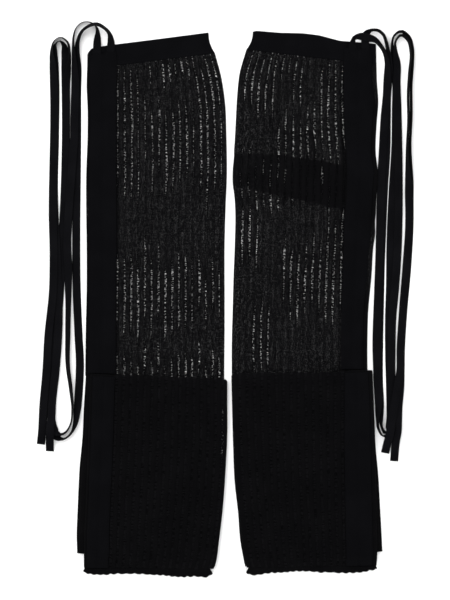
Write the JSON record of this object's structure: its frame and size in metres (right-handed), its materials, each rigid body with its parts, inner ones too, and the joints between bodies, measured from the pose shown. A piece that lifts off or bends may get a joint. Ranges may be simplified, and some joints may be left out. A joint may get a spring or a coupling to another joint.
{
  "type": "pair of long footless rib-knit leg warmers",
  "caption": "Pair of long footless rib-knit tubes with a top band, two-tunnel channel strip and ties, laid flat with the lower third folded.",
  "frame": {"origin": "on the surface that the pair lies on, at the middle of the pair without its ties", "axes": "+Y up the legs towards the top bands, +Z away from the surface, +X towards the right leg as it is seen from above"},
  "size_m": [0.4144, 0.6085, 0.0177],
  "materials": {
    "rib_knit": "matt black sheer rib knit with open ladders between its ribs",
    "plain_knit": "matt black plain knit",
    "tape_knit": "soft black knitted tape"
  },
  "bodies": {
    "root": {"left_leg_panel": "rib_knit", "left_top_band": "plain_knit", "left_channel": "plain_knit", "left_folded_core": "rib_knit", "left_cuff_panel": "rib_knit", "left_cuff_channel": "plain_knit", "left_hem": "rib_knit", "left_tie_a": "tape_knit", "left_tie_b": "tape_knit", "right_leg_panel": "rib_knit", "right_top_band": "plain_knit", "right_channel": "plain_knit", "right_folded_core": "rib_knit", "right_cuff_panel": "rib_knit", "right_cuff_channel": "plain_knit", "right_hem": "rib_knit", "right_tie_a": "tape_knit", "right_tie_b": "tape_knit", "right_tuck": "rib_knit"}
  },
  "joints": []
}
